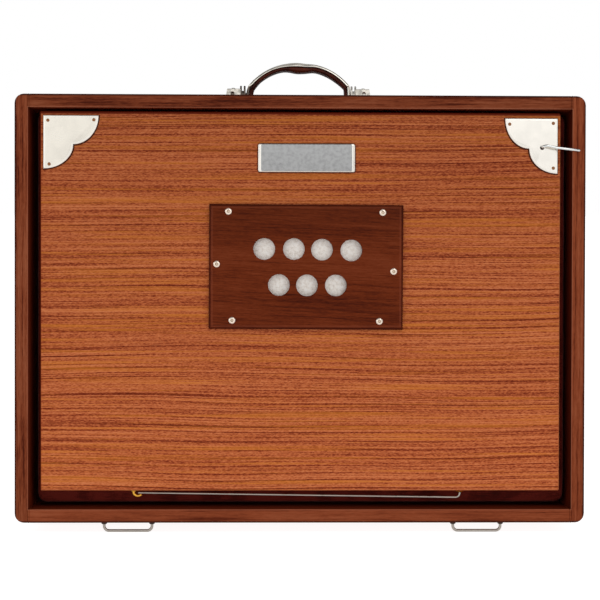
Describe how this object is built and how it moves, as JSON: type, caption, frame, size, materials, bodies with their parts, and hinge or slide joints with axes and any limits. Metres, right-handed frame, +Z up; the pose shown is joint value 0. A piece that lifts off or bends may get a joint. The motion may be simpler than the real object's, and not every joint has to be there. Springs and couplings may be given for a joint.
{
  "type": "shruti box",
  "caption": "Hand-pumped reed drone box in a flat rosewood frame with an inset bellows board, valve plate, tone levers, wire feet and a carrying handle",
  "frame": {"origin": "on the floor under the middle of the whole box, latch hook included", "axes": "+X to the right of the pump side, +Y from the pump side to the playing side, +Z up"},
  "size_m": [0.4, 0.0904, 0.3364],
  "materials": {
    "rosewood": "satin polished reddish-brown hardwood with dark streaks",
    "teak_veneer": "satin varnished orange-brown veneer with fine straight dark grain",
    "dark_rosewood": "satin polished very dark rosewood",
    "plywood": "bare sanded plywood",
    "bellows_cloth": "dark maroon rubberised bellows cloth",
    "white_leather": "white suede valve leather",
    "grip_leather": "dark brown stitched leather",
    "nickel": "bright nickel plating",
    "brushed_aluminium": "brushed aluminium sheet",
    "steel_wire": "bright drawn steel wire",
    "brass": "bright brass"
  },
  "bodies": {
    "case": {"case_left_side": "rosewood", "case_right_side": "rosewood", "case_top": "rosewood", "case_bottom": "rosewood", "partition_board": "plywood", "reservoir_frame": "plywood", "reed_chest_rail": "rosewood", "reed_board": "teak_veneer", "pump_bellows": "bellows_cloth", "reservoir_bellows": "bellows_cloth", "pump_spring": "steel_wire", "reservoir_spring_left": "steel_wire", "reservoir_spring_right": "steel_wire", "handle_bracket_left": "nickel", "handle_bracket_right": "nickel", "reed_01": "brass", "reed_02": "brass", "reed_03": "brass", "reed_04": "brass", "reed_05": "brass", "reed_06": "brass", "reed_07": "brass", "reed_08": "brass", "reed_09": "brass", "reed_10": "brass", "reed_11": "brass", "reed_12": "brass", "reed_13": "brass"},
    "pump": {"pump_board": "teak_veneer", "inlet_valve_plate": "dark_rosewood", "name_plate": "brushed_aluminium", "corner_plate_left": "nickel", "corner_plate_right": "nickel", "stay_hook": "brass", "stay_eyelet": "brass"},
    "inlet_flap": {"inlet_valve_flap": "white_leather"},
    "stay": {"stay_wire": "steel_wire"},
    "latch": {"latch_hook": "steel_wire"},
    "transfer_flap": {"transfer_valve_flap": "white_leather"},
    "reservoir": {"reservoir_board": "teak_veneer"},
    "handle": {"handle_strap": "nickel", "handle_grip": "grip_leather"},
    "foot_front_left_body": {"foot_front_left": "steel_wire"},
    "foot_front_right_body": {"foot_front_right": "steel_wire"},
    "foot_back_right_body": {"foot_back_right": "steel_wire"},
    "foot_back_left_body": {"foot_back_left": "steel_wire"},
    "tone_lever_01_body": {"tone_lever_01": "nickel"},
    "tone_lever_02_body": {"tone_lever_02": "nickel"},
    "tone_lever_03_body": {"tone_lever_03": "nickel"},
    "tone_lever_04_body": {"tone_lever_04": "nickel"},
    "tone_lever_05_body": {"tone_lever_05": "nickel"},
    "tone_lever_06_body": {"tone_lever_06": "nickel"},
    "tone_lever_07_body": {"tone_lever_07": "nickel"},
    "tone_lever_08_body": {"tone_lever_08": "nickel"},
    "tone_lever_09_body": {"tone_lever_09": "nickel"},
    "tone_lever_10_body": {"tone_lever_10": "nickel"},
    "tone_lever_11_body": {"tone_lever_11": "nickel"},
    "tone_lever_12_body": {"tone_lever_12": "nickel"},
    "tone_lever_13_body": {"tone_lever_13": "nickel"}
  },
  "joints": [
    {"name": "pump_hinge", "type": "hinge", "parent": "case", "child": "pump", "pos_m": [0, -0.0323, 0.0294], "axis": [1, 0, 0], "range_deg": [0, 16], "deforming": ["pump_bellows", "pump_spring"]},
    {"name": "inlet_flap_hinge", "type": "hinge", "parent": "pump", "child": "inlet_flap", "pos_m": [0.0044, -0.03755, 0.21352], "axis": [1, 0, 0], "range_deg": [0, 14]},
    {"name": "stay_swivel", "type": "hinge", "parent": "pump", "child": "stay", "pos_m": [0.113, -0.0353, 0.0294], "axis": [0, 0, 1], "range_deg": [0, 90]},
    {"name": "latch_pivot", "type": "hinge", "parent": "pump", "child": "latch", "pos_m": [0.1698, -0.0383, 0.2713], "axis": [0, 1, 0], "range_deg": [-90, 90]},
    {"name": "transfer_flap_hinge", "type": "hinge", "parent": "case", "child": "transfer_flap", "pos_m": [0, 0.00025, 0.1054], "axis": [1, 0, 0], "range_deg": [0, 18]},
    {"name": "reservoir_hinge", "type": "hinge", "parent": "case", "child": "reservoir", "pos_m": [0, 0.0192, 0.024], "axis": [-1, 0, 0], "range_deg": [0, 6], "stiffness_Nm_per_rad": 0.8, "springref_deg": -17.19, "deforming": ["reservoir_bellows", "reservoir_spring_left", "reservoir_spring_right"]},
    {"name": "handle_pivot", "type": "hinge", "parent": "case", "child": "handle", "pos_m": [-0.0015, 0.0012, 0.3128], "axis": [1, 0, 0], "range_deg": [-75, 75]},
    {"name": "foot_front_left_swivel", "type": "hinge", "parent": "case", "child": "foot_front_left_body", "pos_m": [-0.1044, -0.0368, 0], "axis": [0, 0, 1], "range_deg": [0, 90]},
    {"name": "foot_front_right_swivel", "type": "hinge", "parent": "case", "child": "foot_front_right_body", "pos_m": [0.1416, -0.0368, 0], "axis": [0, 0, 1], "range_deg": [0, 90]},
    {"name": "foot_back_right_swivel", "type": "hinge", "parent": "case", "child": "foot_back_right_body", "pos_m": [0.1044, 0.0392, 0], "axis": [0, 0, 1], "range_deg": [0, 90]},
    {"name": "foot_back_left_swivel", "type": "hinge", "parent": "case", "child": "foot_back_left_body", "pos_m": [-0.1416, 0.0392, 0], "axis": [0, 0, 1], "range_deg": [0, 90]},
    {"name": "tone_lever_01_pivot", "type": "hinge", "parent": "case", "child": "tone_lever_01_body", "pos_m": [-0.171, 0.0372, 0.2844], "axis": [0, 1, 0], "range_deg": [0, 22]},
    {"name": "tone_lever_02_pivot", "type": "hinge", "parent": "case", "child": "tone_lever_02_body", "pos_m": [-0.1425, 0.0372, 0.2844], "axis": [0, 1, 0], "range_deg": [0, 22]},
    {"name": "tone_lever_03_pivot", "type": "hinge", "parent": "case", "child": "tone_lever_03_body", "pos_m": [-0.114, 0.0372, 0.2844], "axis": [0, 1, 0], "range_deg": [0, 22]},
    {"name": "tone_lever_04_pivot", "type": "hinge", "parent": "case", "child": "tone_lever_04_body", "pos_m": [-0.0855, 0.0372, 0.2844], "axis": [0, 1, 0], "range_deg": [0, 22]},
    {"name": "tone_lever_05_pivot", "type": "hinge", "parent": "case", "child": "tone_lever_05_body", "pos_m": [-0.057, 0.0372, 0.2844], "axis": [0, 1, 0], "range_deg": [0, 22]},
    {"name": "tone_lever_06_pivot", "type": "hinge", "parent": "case", "child": "tone_lever_06_body", "pos_m": [-0.0285, 0.0372, 0.2844], "axis": [0, 1, 0], "range_deg": [0, 22]},
    {"name": "tone_lever_07_pivot", "type": "hinge", "parent": "case", "child": "tone_lever_07_body", "pos_m": [0, 0.0372, 0.2844], "axis": [0, 1, 0], "range_deg": [0, 22]},
    {"name": "tone_lever_08_pivot", "type": "hinge", "parent": "case", "child": "tone_lever_08_body", "pos_m": [0.0285, 0.0372, 0.2844], "axis": [0, 1, 0], "range_deg": [0, 22]},
    {"name": "tone_lever_09_pivot", "type": "hinge", "parent": "case", "child": "tone_lever_09_body", "pos_m": [0.057, 0.0372, 0.2844], "axis": [0, 1, 0], "range_deg": [0, 22]},
    {"name": "tone_lever_10_pivot", "type": "hinge", "parent": "case", "child": "tone_lever_10_body", "pos_m": [0.0855, 0.0372, 0.2844], "axis": [0, 1, 0], "range_deg": [0, 22]},
    {"name": "tone_lever_11_pivot", "type": "hinge", "parent": "case", "child": "tone_lever_11_body", "pos_m": [0.114, 0.0372, 0.2844], "axis": [0, 1, 0], "range_deg": [0, 22]},
    {"name": "tone_lever_12_pivot", "type": "hinge", "parent": "case", "child": "tone_lever_12_body", "pos_m": [0.1425, 0.0372, 0.2844], "axis": [0, 1, 0], "range_deg": [0, 22]},
    {"name": "tone_lever_13_pivot", "type": "hinge", "parent": "case", "child": "tone_lever_13_body", "pos_m": [0.171, 0.0372, 0.2844], "axis": [0, 1, 0], "range_deg": [0, 22]}
  ]
}
